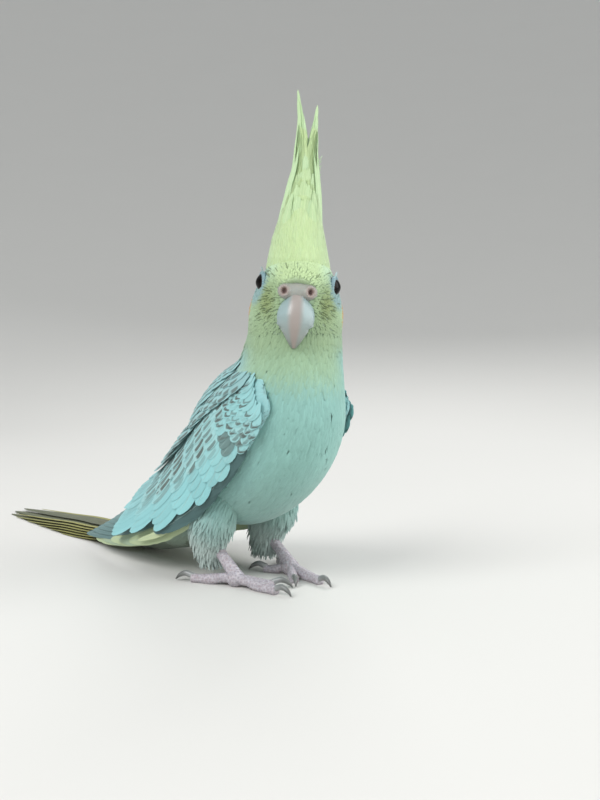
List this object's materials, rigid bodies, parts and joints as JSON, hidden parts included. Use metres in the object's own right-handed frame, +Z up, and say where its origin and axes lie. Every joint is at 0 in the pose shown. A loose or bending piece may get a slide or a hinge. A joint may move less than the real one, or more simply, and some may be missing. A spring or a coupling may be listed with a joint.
{
  "type": "cockatiel model",
  "caption": "Life-size still cockatiel with a raised crest and pearled wings, standing with its tail laid behind it and its head turned.",
  "frame": {"origin": "middle of the bounding box's footprint, on the floor that the feet and tail rest on", "axes": "+Z up, the bird faces -Y with its tail towards +Y, and its left side is +X"},
  "size_m": [0.0546, 0.2298, 0.1656],
  "materials": {
    "face_feather": "pale yellow face feathers with an orange cheek patch",
    "body_feather": "soft pale cream and grey body feathers",
    "crest_feather": "pale yellow crest feathers",
    "wing_feather": "pearled wing feathers, pale with grey edges",
    "tail_feather": "olive yellow and grey tail feathers",
    "skin": "bare pinkish grey skin",
    "foot_skin": "scaly pinkish grey skin",
    "bill_horn": "satin grey horn",
    "claw_horn": "satin dark horn",
    "eye": "wet black eye"
  },
  "bodies": {
    "root": {"head": "face_feather", "neck": "body_feather", "torso": "body_feather", "tail": "tail_feather", "crest": "crest_feather", "cere": "skin", "bill_upper": "bill_horn", "bill_lower": "bill_horn", "eye_left": "eye", "eye_right": "eye", "wing_left": "wing_feather", "wing_right": "wing_feather", "thigh_left": "body_feather", "thigh_right": "body_feather", "foot_left": "foot_skin", "foot_right": "foot_skin", "claw_left_outer_front": "claw_horn", "claw_left_inner_front": "claw_horn", "claw_left_outer_back": "claw_horn", "claw_left_inner_back": "claw_horn", "claw_right_outer_front": "claw_horn", "claw_right_inner_front": "claw_horn", "claw_right_outer_back": "claw_horn", "claw_right_inner_back": "claw_horn"}
  },
  "joints": []
}
